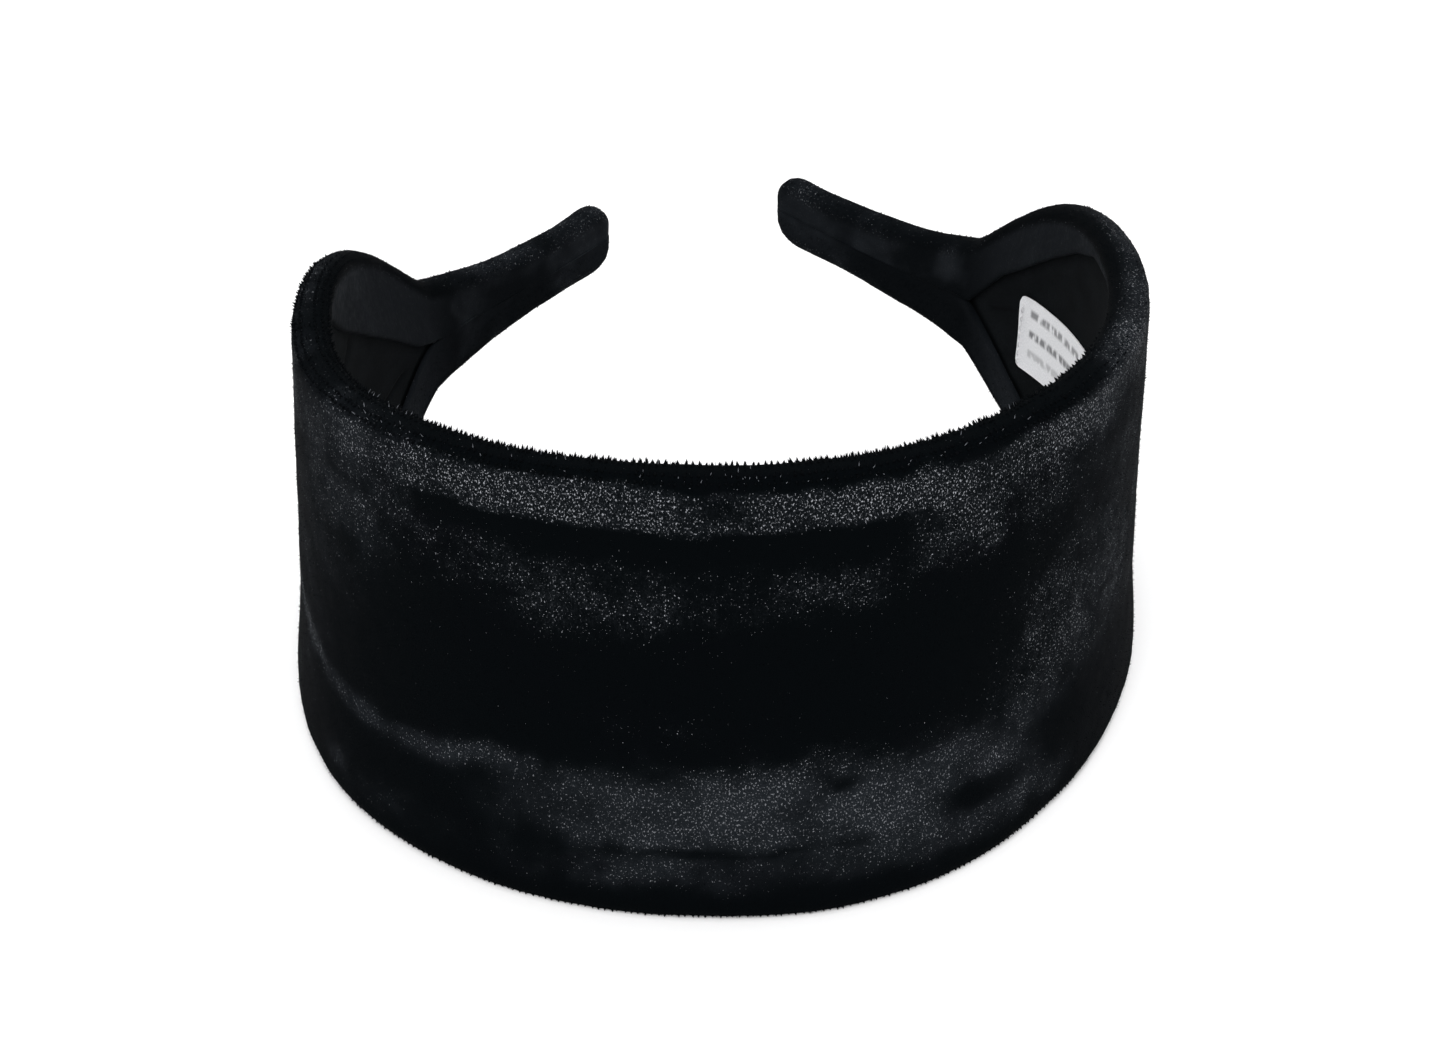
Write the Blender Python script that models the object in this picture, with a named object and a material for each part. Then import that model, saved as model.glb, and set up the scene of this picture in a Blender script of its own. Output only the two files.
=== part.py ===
"""A wide padded velvet headband, standing on the lower long edge of its front panel.

The band is one ruled surface. A centre line runs round the head in plan, and at each station
along it a straight rule crosses the band. Every layer is laid out on that surface from three
numbers: how far along the band (negative to the wearer's left), how far across it from the
centre line, and how deep in the thickness (positive outward).

Units are metres. +Z is up, the front panel faces -Y and the two arms reach back to +Y. The
origin is on the table, at the middle of the band's bounding box.
"""
import math

import bmesh
import bpy
import numpy as np
from mathutils import Vector

# Plan of the centre line: how far it has turned, in degrees, at each fraction of its half length.
TURN_AT = (0.0, 0.14, 0.28, 0.42, 0.56, 0.70, 0.85, 1.0)
LEFT_TURN = (0.0, 19.7, 44.9, 78.6, 97.9, 119.0, 130.2, 130.8)
RIGHT_TURN = (0.0, 29.4, 52.9, 76.5, 97.2, 119.1, 131.4, 138.7)
LEFT_LENGTH = 0.2144
RIGHT_LENGTH = 0.2176
PLAN_STEP = 0.001

# Widths across the band, from the centre line to an edge.
PANEL_HALF_WIDTH = 0.0385
PANEL_HALF_WIDTH_AT_SHOULDER = 0.0361
ARM_HALF_WIDTH = (0.0116, 0.0073, 0.0074)
SHOULDER_START = 0.411
SHOULDER_END = (0.750, 0.763)
SHOULDER_FULLNESS = (4.2, 3.7)
SHOULDER_RUNOUT = (1.6, 1.3)
LOW_FULLNESS = 3.7
LOW_RUNOUT = 1.15
ARM_RISE = ((-0.0007, 0.0004), (-0.0005, 0.0020))

# How the band stands and leans.
STANCE_TILT = math.radians(3.0)
LEAN_FRONT = math.radians(-4.2)
LEAN_SIDE = (math.radians(-3.5), math.radians(-1.8))

# Layers, from the head outward. GAP is left between neighbours.
PANEL_THICKNESS = 0.0058
ARM_THICKNESS = 0.0048
GAP = 0.0003
VELVET = 0.0009
VELVET_TURNED = 0.0006
LINING = 0.0004
CORE = 0.0013
CORE_EASE = 0.015
EDGE_RADIUS = 0.0022
CORNER_STEPS = 4
RIM_FLAT = 0.0003

# The velvet turned over to the inside, where it holds down the lining's edges.
BORDER = 0.0092
BORDER_CLOSING = 0.020
TURN_STEP = 0.0010
TUCK = 0.0030
SEAM_HALF_GAP = 0.0005
LINING_END_GAP = 0.0050
MIN_HALF_WIDTH = 0.0012

# Each arm's tip: where the hollow of its sleeve closes, and how far short of a point it stops.
TIP_INNER = 0.0042
TIP_CLOSE = 0.0032
TIP_WALL = 0.0009
TIP_BLUNT = 0.0007
TIP_HOLLOW = 0.12
SEAM_END_GAP = 0.0012

# The elastic bend at each arm's root, worked by a hinge on the outer face.
ARM_SPLIT = 0.0006
ARM_SQUEEZE = math.radians(4.5)

# Threads and label.
THREAD_RADIUS = 0.0002
STITCH_INSET = 0.0008
LABEL_START = 0.111
LABEL_END = 0.149
LABEL_LOW = -0.0060
LABEL_HIGH = 0.0098
LABEL_THICKNESS = 0.0003
LABEL_STEPS = 6

PANEL_STEPS = 15
SHOULDER_STEPS = 14
ARM_STEPS = 9
TIP_STEPS = 5


class Section:
    """The band's own frame, half widths and thickness at one station."""

    def __init__(self, centre, rule, outward, low, high, thickness, past_root):
        self.centre = centre
        self.rule = rule
        self.outward = outward
        self.low = low
        self.high = high
        self.thickness = thickness
        self.past_root = past_root

    def point(self, across, depth):
        """The place of a point given across the band and in its thickness."""
        return self.centre + across * self.rule + depth * self.outward

    @property
    def inside(self):
        return -0.5 * self.thickness

    @property
    def outside(self):
        return 0.5 * self.thickness


def smooth(start, end, value):
    """Ease from 0 at start to 1 at end."""
    t = min(max((value - start) / (end - start), 0.0), 1.0)
    return t * t * (3.0 - 2.0 * t)


def tilted(vector):
    """Turn a vector of the band's own plane into the standing position."""
    x, y, z = vector
    c = math.cos(STANCE_TILT)
    s = math.sin(STANCE_TILT)
    return np.array((x, y * c + z * s, z * c - y * s))


LIFT = PANEL_HALF_WIDTH * math.cos(STANCE_TILT - LEAN_FRONT)


class Side:
    """One half of the band, from the middle of the front to the tip of an arm."""

    def __init__(self, which, sign, length, turns):
        self.sign = sign
        self.length = length
        self.shoulder_start = SHOULDER_START * length
        self.root = SHOULDER_END[which] * length
        self.fullness = SHOULDER_FULLNESS[which]
        self.runout = SHOULDER_RUNOUT[which]
        self.rise = ARM_RISE[which]
        self.lean = LEAN_SIDE[which]
        self.steps = np.arange(0.0, length + 2.0 * PLAN_STEP, PLAN_STEP)
        self.turn = np.radians(np.interp(self.steps / length, TURN_AT, turns))
        middle = 0.5 * (self.turn[1:] + self.turn[:-1])
        self.x = np.concatenate(([0.0], np.cumsum(np.cos(middle)))) * PLAN_STEP
        self.y = np.concatenate(([0.0], np.cumsum(np.sin(middle)))) * PLAN_STEP

    def arm_half_width(self, v):
        """The arm's half width, from its root at v = 0 to its tip at v = 1."""
        root, middle, tip = ARM_HALF_WIDTH
        return root * (1 - v) * (1 - 2 * v) + middle * 4 * v * (1 - v) + tip * v * (2 * v - 1)

    def arm_rise(self, v):
        """How far the arm's centre line rises at v, above or below its root."""
        middle, tip = self.rise
        return middle * 4 * v * (1 - v) + tip * v * (2 * v - 1)

    def section(self, s):
        """The section at a distance s from the middle of the front."""
        turn = np.interp(s, self.steps, self.turn)
        x = np.interp(s, self.steps, self.x)
        y = np.interp(s, self.steps, self.y)
        v = min(max((s - self.root) / (self.length - self.root), 0.0), 1.0)
        w = min(max((s - self.shoulder_start) / (self.root - self.shoulder_start), 0.0), 1.0)
        lean = LEAN_FRONT + (self.lean - LEAN_FRONT) * smooth(0.0, self.shoulder_start, s)
        normal = np.array((self.sign * math.sin(turn), -math.cos(turn), 0.0))
        upright = np.array((0.0, 0.0, 1.0))
        rule = tilted(upright * math.cos(lean) + normal * math.sin(lean))
        outward = tilted(normal * math.cos(lean) - upright * math.sin(lean))
        centre = tilted((self.sign * x, y, self.arm_rise(v)))
        centre[2] += LIFT
        narrowing = min(s / self.shoulder_start, 1.0) ** 2
        high = PANEL_HALF_WIDTH
        high += (PANEL_HALF_WIDTH_AT_SHOULDER - PANEL_HALF_WIDTH) * narrowing
        low = (centre[2] + RIM_FLAT) / rule[2]
        arm = self.arm_half_width(v)
        high = arm + (high - arm) * (1.0 - w ** self.fullness) ** self.runout
        low = arm + (low - arm) * (1.0 - w ** LOW_FULLNESS) ** LOW_RUNOUT
        from_tip = max(self.length - s, 0.0)
        radius = ARM_HALF_WIDTH[2]
        if from_tip < radius:
            rounded = math.sqrt(radius ** 2 - (radius - from_tip) ** 2)
            high = min(high, max(rounded, MIN_HALF_WIDTH))
            low = min(low, max(rounded, MIN_HALF_WIDTH))
        change = smooth(self.shoulder_start, self.root, s)
        thickness = PANEL_THICKNESS + (ARM_THICKNESS - PANEL_THICKNESS) * change
        return Section(centre, rule, outward, low, high, thickness, s - self.root)


LEFT = Side(0, -1.0, LEFT_LENGTH, LEFT_TURN)
RIGHT = Side(1, 1.0, RIGHT_LENGTH, RIGHT_TURN)


def half_panel_stations(side, end_gap):
    """Distances along one side of the panel, closer together where the shoulder drops."""
    start = side.shoulder_start
    end = side.root - end_gap
    flat = [start * i / PANEL_STEPS for i in range(PANEL_STEPS)]
    steps = [1.0 - (1.0 - i / SHOULDER_STEPS) ** 1.5 for i in range(SHOULDER_STEPS + 1)]
    return flat + [start + (end - start) * t for t in steps]


def panel_sections(end_gap):
    """Sections of the whole panel, from the left shoulder round to the right one."""
    left = [LEFT.section(s) for s in half_panel_stations(LEFT, end_gap)]
    right = [RIGHT.section(s) for s in half_panel_stations(RIGHT, end_gap)]
    return left[:0:-1] + right


def arm_sections(side, root_gap, tip_gap):
    """Sections of one arm, closer together where the tip is rounded."""
    start = side.root + root_gap
    tip = side.length - ARM_HALF_WIDTH[2]
    end = side.length - tip_gap
    along = [start + (tip - start) * i / ARM_STEPS for i in range(ARM_STEPS)]
    turns = [math.sin(0.5 * math.pi * i / TIP_STEPS) for i in range(TIP_STEPS + 1)]
    return [side.section(s) for s in along + [tip + (end - tip) * t for t in turns]]


def corner(across, depth, radius, start):
    """A quarter round of a section, from an angle measured from outward towards high."""
    points = []
    for i in range(CORNER_STEPS + 1):
        angle = math.radians(start + 90.0 * i / CORNER_STEPS)
        points.append((across + radius * math.sin(angle), depth + radius * math.cos(angle)))
    return points


def turned_end(section, half_width):
    """How far from the centre line the turned velvet ends. Its two edges close up at an arm's root."""
    open_width = max(half_width - BORDER, SEAM_HALF_GAP)
    closed = smooth(-BORDER_CLOSING, 0.0, section.past_root)
    return open_width + (SEAM_HALF_GAP - open_width) * closed


def velvet_lines(section):
    """The outer and inner lines of the velvet, from its low turned edge to its high one."""
    end_low = turned_end(section, section.low)
    end_high = turned_end(section, section.high)
    inner = section.inside + EDGE_RADIUS
    outer = section.outside - EDGE_RADIUS
    low = -section.low + EDGE_RADIUS
    high = section.high - EDGE_RADIUS
    lines = []
    for radius, turned in (
        (EDGE_RADIUS, section.inside),
        (EDGE_RADIUS - VELVET, section.inside + VELVET_TURNED),
    ):
        line = [(-end_low, turned), (low + TURN_STEP, turned)]
        line += corner(low, inner, radius, 180.0)
        line += corner(low, outer, radius, 270.0)
        line += corner(high, outer, radius, 0.0)
        line += corner(high, inner, radius, 90.0)
        line += [(high - TURN_STEP, turned), (end_high, turned)]
        lines.append(line)
    return lines


def velvet_ring(section, hollow=1.0):
    """The closed loop of the velvet's section. A small hollow closes it up, as at an arm's tip."""
    outer, inner = velvet_lines(section)
    return outer + [(across * hollow, depth * hollow) for across, depth in reversed(inner)]


def strip_ring(low, high, inside, outside):
    """The closed loop of a flat strip's section."""
    return [(-low, inside), (high, inside), (high, outside), (-low, outside)]


def core_inside(section):
    """The depth of the core's inner face. In the panel it leaves room for the lining's edges."""
    for_lining = (LINING + GAP) * (1.0 - smooth(0.0, CORE_EASE, section.past_root))
    return section.inside + VELVET_TURNED + GAP + for_lining


def core_ring(section):
    """The moulded core, which reaches into the rounded edges."""
    inside = core_inside(section)
    return strip_ring(section.low - EDGE_RADIUS, section.high - EDGE_RADIUS, inside, inside + CORE)


def foam_ring(section):
    """The foam fills the room between the core and the outer velvet."""
    inside = core_inside(section) + CORE + GAP
    outside = section.outside - VELVET - GAP
    return strip_ring(section.low - EDGE_RADIUS, section.high - EDGE_RADIUS, inside, outside)


def lining_ring(section):
    """The lining lies on the core, with its edges under the turned velvet."""
    inside = section.inside + VELVET_TURNED + GAP
    reach = TUCK - BORDER
    return strip_ring(section.low + reach, section.high + reach, inside, inside + LINING)


def placed(section, loop):
    """The points of a section's loop in space. None goes below the table."""
    points = [section.point(across, depth) for across, depth in loop]
    for point in points:
        point[2] = max(point[2], 0.0)
    return points


def placed_at_root(side, distance, loop):
    """The loop at an arm's root, cut back towards the head so that the arm can be squeezed in."""
    outside = side.section(distance).outside
    points = []
    for across, depth in loop:
        cut_back = (outside - depth) * math.tan(ARM_SQUEEZE)
        points.append(side.section(distance + cut_back).point(across, depth))
    return points


def material(name, colour, roughness):
    """A plain Principled material."""
    made = bpy.data.materials.new(name)
    made.use_nodes = True
    shader = made.node_tree.nodes["Principled BSDF"]
    shader.inputs["Base Color"].default_value = (*colour, 1.0)
    shader.inputs["Roughness"].default_value = roughness
    shader.inputs["Metallic"].default_value = 0.0
    made.diffuse_color = (*colour, 1.0)
    return made


def link(name, data, colours):
    """Put a new object of this name and material in the scene."""
    made = bpy.data.objects.new(name, data)
    data.materials.append(colours)
    bpy.context.collection.objects.link(made)
    return made


def loft(name, rings, colours, has_walls=False):
    """A closed body through rings of points. A walled section has its ends closed in pairs."""
    mesh = bpy.data.meshes.new(name)
    shape = bmesh.new()
    loops = [[shape.verts.new(point) for point in ring] for ring in rings]
    count = len(loops[0])
    for one, other in zip(loops[:-1], loops[1:]):
        for i in range(count):
            j = (i + 1) % count
            shape.faces.new((one[i], one[j], other[j], other[i]))
    for loop in (loops[0], loops[-1]):
        if not has_walls:
            shape.faces.new(loop)
            continue
        for i in range(count // 2 - 1):
            shape.faces.new((loop[i], loop[i + 1], loop[count - 2 - i], loop[count - 1 - i]))
    bmesh.ops.recalc_face_normals(shape, faces=shape.faces)
    shape.to_mesh(mesh)
    shape.free()
    mesh.shade_smooth()
    mesh.set_sharp_from_angle(angle=math.radians(50.0))
    return link(name, mesh, colours)


def thread(name, points, colours):
    """A round thread through a row of points."""
    curve = bpy.data.curves.new(name, "CURVE")
    curve.dimensions = "3D"
    curve.bevel_depth = THREAD_RADIUS
    curve.bevel_resolution = 1
    curve.use_fill_caps = True
    spline = curve.splines.new("POLY")
    spline.points.add(len(points) - 1)
    for target, point in zip(spline.points, points):
        target.co = (*point, 1.0)
    return link(name, curve, colours)


def make_panel(materials):
    """The wide front panel, with its core, foam, velvet, lining and label."""
    sections = panel_sections(0.5 * ARM_SPLIT)
    pieces = [
        loft("panel_core", [placed(s, core_ring(s)) for s in sections], materials["core"]),
        loft("panel_foam", [placed(s, foam_ring(s)) for s in sections], materials["foam"]),
        loft(
            "panel_velvet",
            [placed(s, velvet_ring(s)) for s in sections],
            materials["velvet"],
            has_walls=True,
        ),
    ]
    lining_sections = panel_sections(LINING_END_GAP)
    lining_rings = [placed(s, lining_ring(s)) for s in lining_sections]
    pieces.append(loft("lining", lining_rings, materials["lining"]))
    return pieces + make_label(materials)


def make_label(materials):
    """The care label on the lining, with the row of stitches that holds its back edge."""
    rings = []
    for i in range(LABEL_STEPS + 1):
        section = RIGHT.section(LABEL_START + (LABEL_END - LABEL_START) * i / LABEL_STEPS)
        outside = section.inside + VELVET_TURNED
        loop = strip_ring(-LABEL_LOW, LABEL_HIGH, outside - LABEL_THICKNESS, outside)
        rings.append(placed(section, loop))
    label = loft("care_label", rings, materials["label"])
    section = RIGHT.section(LABEL_END - STITCH_INSET)
    depth = section.inside + VELVET_TURNED - LABEL_THICKNESS - GAP - THREAD_RADIUS
    low = LABEL_LOW + STITCH_INSET
    high = LABEL_HIGH - STITCH_INSET
    points = [section.point(low, depth), section.point(high, depth)]
    return [label, thread("label_thread", points, materials["thread"])]


def make_arm(side, name, materials):
    """One narrow arm, with its core, wadding, velvet sleeve and the thread that closes it."""
    gap = 0.5 * ARM_SPLIT
    start = side.root + gap

    def arm_rings(ring, tip_gap):
        sections = arm_sections(side, gap, tip_gap)
        first = placed_at_root(side, start, ring(sections[0]))
        return [first] + [placed(section, ring(section)) for section in sections[1:]]

    sleeve = arm_rings(velvet_ring, TIP_CLOSE)
    for tip_gap in (TIP_CLOSE - TIP_WALL, TIP_BLUNT):
        section = side.section(side.length - tip_gap)
        sleeve.append(placed(section, velvet_ring(section, TIP_HOLLOW)))
    pieces = [
        loft(name + "_core", arm_rings(core_ring, TIP_INNER), materials["core"]),
        loft(name + "_foam", arm_rings(foam_ring, TIP_INNER), materials["foam"]),
        loft(name + "_velvet", sleeve, materials["velvet"], has_walls=True),
    ]
    seam = []
    for section in arm_sections(side, SEAM_END_GAP, TIP_INNER):
        seam.append(section.point(0.0, section.inside + 0.5 * VELVET_TURNED))
    pieces.append(thread(name + "_seam_thread", seam, materials["thread"]))
    return pieces


def hinge_empty(side, name, root):
    """An empty on the axis that an arm bends about, at the outer face of the split."""
    section = side.section(side.root)
    empty = bpy.data.objects.new(name, None)
    empty.location = section.point(0.0, section.outside)
    empty.rotation_mode = "QUATERNION"
    empty.rotation_quaternion = Vector(section.rule).to_track_quat("Z", "Y")
    empty.parent = root
    bpy.context.collection.objects.link(empty)
    return empty


def hang(pieces, parent):
    """Parent pieces without moving them."""
    bpy.context.view_layer.update()
    for piece in pieces:
        piece.parent = parent
        piece.matrix_parent_inverse = parent.matrix_world.inverted()


def build():
    for old in list(bpy.data.objects):
        bpy.data.objects.remove(old)
    materials = {
        "velvet": material("velvet", (0.012, 0.014, 0.018), 0.9),
        "lining": material("lining", (0.030, 0.029, 0.030), 0.95),
        "core": material("core", (0.050, 0.050, 0.052), 0.45),
        "foam": material("foam", (0.300, 0.300, 0.310), 0.95),
        "label": material("label", (0.850, 0.850, 0.860), 0.4),
        "thread": material("thread", (0.020, 0.020, 0.022), 0.7),
    }
    root = bpy.data.objects.new("headband", None)
    bpy.context.collection.objects.link(root)
    hang(make_panel(materials), root)
    for side, name in ((LEFT, "left_arm"), (RIGHT, "right_arm")):
        hinge = hinge_empty(side, name + "_hinge", root)
        hang(make_arm(side, name, materials), hinge)
    bpy.context.view_layer.update()
    solids = [thing for thing in bpy.data.objects if thing.type == "MESH"]
    corners = [solid.matrix_world @ Vector(at) for solid in solids for at in solid.bound_box]
    root.location.x = -0.5 * (min(at.x for at in corners) + max(at.x for at in corners))
    root.location.y = -0.5 * (min(at.y for at in corners) + max(at.y for at in corners))


build()
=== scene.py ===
"""The looks of a wide padded headband in crushed black velvet, standing on its front panel.

The velvet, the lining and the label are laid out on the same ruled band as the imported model:
how far along the band, how far across it, and how deep in its thickness. All in metres.
"""
import math

import bmesh
import bpy
import numpy as np
from mathutils import Matrix, Vector


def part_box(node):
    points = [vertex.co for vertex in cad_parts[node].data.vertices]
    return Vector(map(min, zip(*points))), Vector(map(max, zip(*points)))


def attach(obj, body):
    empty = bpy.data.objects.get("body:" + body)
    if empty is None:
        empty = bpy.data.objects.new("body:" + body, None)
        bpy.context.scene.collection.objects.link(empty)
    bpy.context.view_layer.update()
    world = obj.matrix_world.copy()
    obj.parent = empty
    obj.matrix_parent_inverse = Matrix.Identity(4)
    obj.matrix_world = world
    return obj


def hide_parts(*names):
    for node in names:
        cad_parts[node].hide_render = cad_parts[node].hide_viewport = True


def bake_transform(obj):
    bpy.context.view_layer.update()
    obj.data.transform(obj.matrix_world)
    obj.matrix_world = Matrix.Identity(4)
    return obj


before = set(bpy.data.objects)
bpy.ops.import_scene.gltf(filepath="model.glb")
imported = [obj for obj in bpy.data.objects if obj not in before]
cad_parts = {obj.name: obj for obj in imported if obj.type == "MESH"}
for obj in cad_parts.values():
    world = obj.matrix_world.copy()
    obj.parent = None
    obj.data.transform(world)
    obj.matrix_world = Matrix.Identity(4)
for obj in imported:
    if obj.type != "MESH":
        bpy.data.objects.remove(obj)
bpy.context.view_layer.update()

# The band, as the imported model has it.
TURN_AT = (0.0, 0.14, 0.28, 0.42, 0.56, 0.70, 0.85, 1.0)
LEFT_TURN = (0.0, 19.7, 44.9, 78.6, 97.9, 119.0, 130.2, 130.8)
RIGHT_TURN = (0.0, 29.4, 52.9, 76.5, 97.2, 119.1, 131.4, 138.7)
LEFT_LENGTH = 0.2144
RIGHT_LENGTH = 0.2176
PLAN_STEP = 0.001
PANEL_HALF_WIDTH = 0.0385
PANEL_HALF_WIDTH_AT_SHOULDER = 0.0361
ARM_HALF_WIDTH = (0.0116, 0.0073, 0.0074)
SHOULDER_START = 0.411
SHOULDER_END = (0.750, 0.763)
SHOULDER_FULLNESS = (4.2, 3.7)
SHOULDER_RUNOUT = (1.6, 1.3)
LOW_FULLNESS = 3.7
LOW_RUNOUT = 1.15
ARM_RISE = ((-0.0007, 0.0004), (-0.0005, 0.002))
STANCE_TILT = math.radians(3.0)
LEAN_FRONT = math.radians(-4.2)
LEAN_SIDE = (math.radians(-3.5), math.radians(-1.8))
PANEL_THICKNESS = 0.0058
ARM_THICKNESS = 0.0048
GAP = 0.0003
VELVET = 0.0009
VELVET_TURNED = 0.0006
LINING = 0.0004
CORE = 0.0013
LABEL_START = 0.111
LABEL_END = 0.149
LABEL_LOW = -0.0060
LABEL_HIGH = 0.0098

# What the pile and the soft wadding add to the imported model's faces.
PILE_PROUD = 0.0004
EDGE_RADIUS = 0.0027
FLOOR_CLEAR = 0.00015
VELVET_SHEET = 0.0006
INNER_CLEAR = 0.0006

# The velvet's mesh step, how far before its arm's root a sleeve starts, and how far past the
# root bend() reaches, though it bends nothing.
ALONG_STEP = 0.00095
SLEEVE_OVERLAP = 0.022
BLEND_REACH = 0.020


# ---- the ruled band


def smooth(start, end, value):
    """Ease from 0 at start to 1 at end."""
    t = np.clip((value - start) / (end - start), 0.0, 1.0)
    return t * t * (3.0 - 2.0 * t)


def tilted(vectors):
    """Turn vectors of the band's own plane into the standing position."""
    c = math.cos(STANCE_TILT)
    s = math.sin(STANCE_TILT)
    x, y, z = vectors[..., 0], vectors[..., 1], vectors[..., 2]
    return np.stack((x, y * c + z * s, z * c - y * s), axis=-1)


class Side:
    """One half of the band, from the middle of the front to the tip of an arm."""

    def __init__(self, which, sign, length, turns):
        self.sign = sign
        self.length = length
        self.shoulder_start = SHOULDER_START * length
        self.root = SHOULDER_END[which] * length
        self.fullness = SHOULDER_FULLNESS[which]
        self.runout = SHOULDER_RUNOUT[which]
        self.rise = ARM_RISE[which]
        self.lean = LEAN_SIDE[which]
        self.steps = np.arange(0.0, length + 2.0 * PLAN_STEP, PLAN_STEP)
        self.turn = np.radians(np.interp(self.steps / length, TURN_AT, turns))
        middle = 0.5 * (self.turn[1:] + self.turn[:-1])
        self.x = np.concatenate(([0.0], np.cumsum(np.cos(middle)))) * PLAN_STEP
        self.y = np.concatenate(([0.0], np.cumsum(np.sin(middle)))) * PLAN_STEP


LEFT = Side(0, -1.0, LEFT_LENGTH, LEFT_TURN)
RIGHT = Side(1, 1.0, RIGHT_LENGTH, RIGHT_TURN)
LIFT = PANEL_HALF_WIDTH * math.cos(STANCE_TILT - LEAN_FRONT)


class Band:
    """The band's frame, half widths and thickness at an array of signed stations."""

    def __init__(self, stations):
        self.s = np.asarray(stations, float)
        parts = {}
        for side, chosen in ((LEFT, self.s < 0.0), (RIGHT, self.s >= 0.0)):
            for name, value in self.half(side, np.abs(self.s[chosen])).items():
                whole = parts.setdefault(name, np.zeros((len(self.s),) + value.shape[1:]))
                whole[chosen] = value
        self.centre, self.rule, self.outward = parts["centre"], parts["rule"], parts["outward"]
        self.low, self.high, self.thickness = parts["low"], parts["high"], parts["thickness"]

    @staticmethod
    def half(side, s):
        turn = np.interp(s, side.steps, side.turn)
        x = np.interp(s, side.steps, side.x)
        y = np.interp(s, side.steps, side.y)
        v = np.clip((s - side.root) / (side.length - side.root), 0.0, 1.0)
        w = np.clip((s - side.shoulder_start) / (side.root - side.shoulder_start), 0.0, 1.0)
        lean = LEAN_FRONT + (side.lean - LEAN_FRONT) * smooth(0.0, side.shoulder_start, s)
        normal = np.stack((side.sign * np.sin(turn), -np.cos(turn), 0.0 * turn), axis=-1)
        upright = np.array((0.0, 0.0, 1.0))
        c = np.cos(lean)[:, None]
        n = np.sin(lean)[:, None]
        rule = tilted(upright * c + normal * n)
        outward = tilted(normal * c - upright * n)
        rise = side.rise[0] * 4 * v * (1 - v) + side.rise[1] * v * (2 * v - 1)
        centre = tilted(np.stack((side.sign * x, y, rise), axis=-1))
        centre[:, 2] += LIFT
        narrowing = np.minimum(s / side.shoulder_start, 1.0) ** 2
        high = PANEL_HALF_WIDTH + (PANEL_HALF_WIDTH_AT_SHOULDER - PANEL_HALF_WIDTH) * narrowing
        low = centre[:, 2] / rule[:, 2]
        root, middle, tip = ARM_HALF_WIDTH
        arm = root * (1 - v) * (1 - 2 * v) + middle * 4 * v * (1 - v) + tip * v * (2 * v - 1)
        high = arm + (high - arm) * (1.0 - w ** side.fullness) ** side.runout
        low = arm + (low - arm) * (1.0 - w ** LOW_FULLNESS) ** LOW_RUNOUT
        change = smooth(side.shoulder_start, side.root, s)
        thickness = PANEL_THICKNESS + (ARM_THICKNESS - PANEL_THICKNESS) * change
        return {"centre": centre, "rule": rule, "outward": outward, "low": low, "high": high,
                "thickness": thickness}

    def point(self, across, depth):
        """Places in space. The first axis of across and depth is the stations."""
        shape = (-1,) + (1,) * (np.ndim(across) - 1) + (3,)
        across = np.asarray(across)[..., None] * self.rule.reshape(shape)
        depth = np.asarray(depth)[..., None] * self.outward.reshape(shape)
        return self.centre.reshape(shape) + across + depth + SHIFT


def shift_to_frame():
    """How far the band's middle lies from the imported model's origin, in plan."""
    dense = np.arange(-LEFT.root, RIGHT.root, PLAN_STEP)
    band = Band(dense)
    face = band.centre + 0.5 * band.thickness[:, None] * band.outward
    face = face - band.low[:, None] * band.rule
    low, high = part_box("panel_velvet")
    x = 0.5 * (low.x + high.x) - 0.5 * (face[:, 0].min() + face[:, 0].max())
    y = low.y - face[:, 1].min()
    return np.array((x, y, 0.0))


SHIFT = np.zeros(3)
SHIFT = shift_to_frame()


# ---- noise and soft patches


def value_noise(x, y, size, seed):
    """Smooth noise from -1 to 1 over a plane, with lumps about size apart."""
    lattice = np.random.default_rng(seed).uniform(-1.0, 1.0, (256, 256))
    u, v = np.asarray(x) / size, np.asarray(y) / size
    i, j = np.floor(u).astype(int), np.floor(v).astype(int)
    a, b = u - i, v - j
    a = a * a * a * (a * (a * 6.0 - 15.0) + 10.0)
    b = b * b * b * (b * (b * 6.0 - 15.0) + 10.0)
    i0, i1, j0, j1 = i % 256, (i + 1) % 256, j % 256, (j + 1) % 256
    low = lattice[i0, j0] * (1 - a) + lattice[i1, j0] * a
    high = lattice[i0, j1] * (1 - a) + lattice[i1, j1] * a
    return low * (1 - b) + high * b


def lumpy(x, y, size, seed, octaves=3):
    """Several sizes of noise together, from about -1 to 1."""
    total = np.zeros(np.broadcast(x, y).shape)
    share = 1.0
    for octave in range(octaves):
        total += share * value_noise(x, y, size / 2 ** octave, seed + octave)
        share *= 0.5
    return total / (2.0 - share * 2.0)


def patch(s, a, middle, half_size, firmness, slope=0.0):
    """An oblong patch, 1 in the middle and 0 outside, with a softer edge where less firm."""
    u = (s - middle[0]) / half_size[0]
    v = (a - middle[1] - slope * (s - middle[0])) / half_size[1]
    away = (np.abs(u) ** 3 + np.abs(v) ** 3) ** (1.0 / 3.0)
    return np.exp(-away ** firmness)


def near_line(s, a, line, width):
    """1 on a line of points along and across the band, easing to 0 at width from it."""
    best = np.full(np.shape(s), 1e9)
    for (s0, a0), (s1, a1) in zip(line[:-1], line[1:]):
        length = (s1 - s0) ** 2 + (a1 - a0) ** 2
        t = np.clip(((s - s0) * (s1 - s0) + (a - a0) * (a1 - a0)) / length, 0.0, 1.0)
        best = np.minimum(best, np.hypot(s - s0 - t * (s1 - s0), a - a0 - t * (a1 - a0)))
    return 1.0 - smooth(0.0, width, best)


# ---- meshes


def new_mesh(name, points, faces):
    """A mesh object of points and faces, shaded smooth."""
    mesh = bpy.data.meshes.new(name)
    mesh.from_pydata(np.reshape(points, (-1, 3)).tolist(), [], faces)
    mesh.shade_smooth()
    made = bpy.data.objects.new(name, mesh)
    bpy.context.scene.collection.objects.link(made)
    return made


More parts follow.
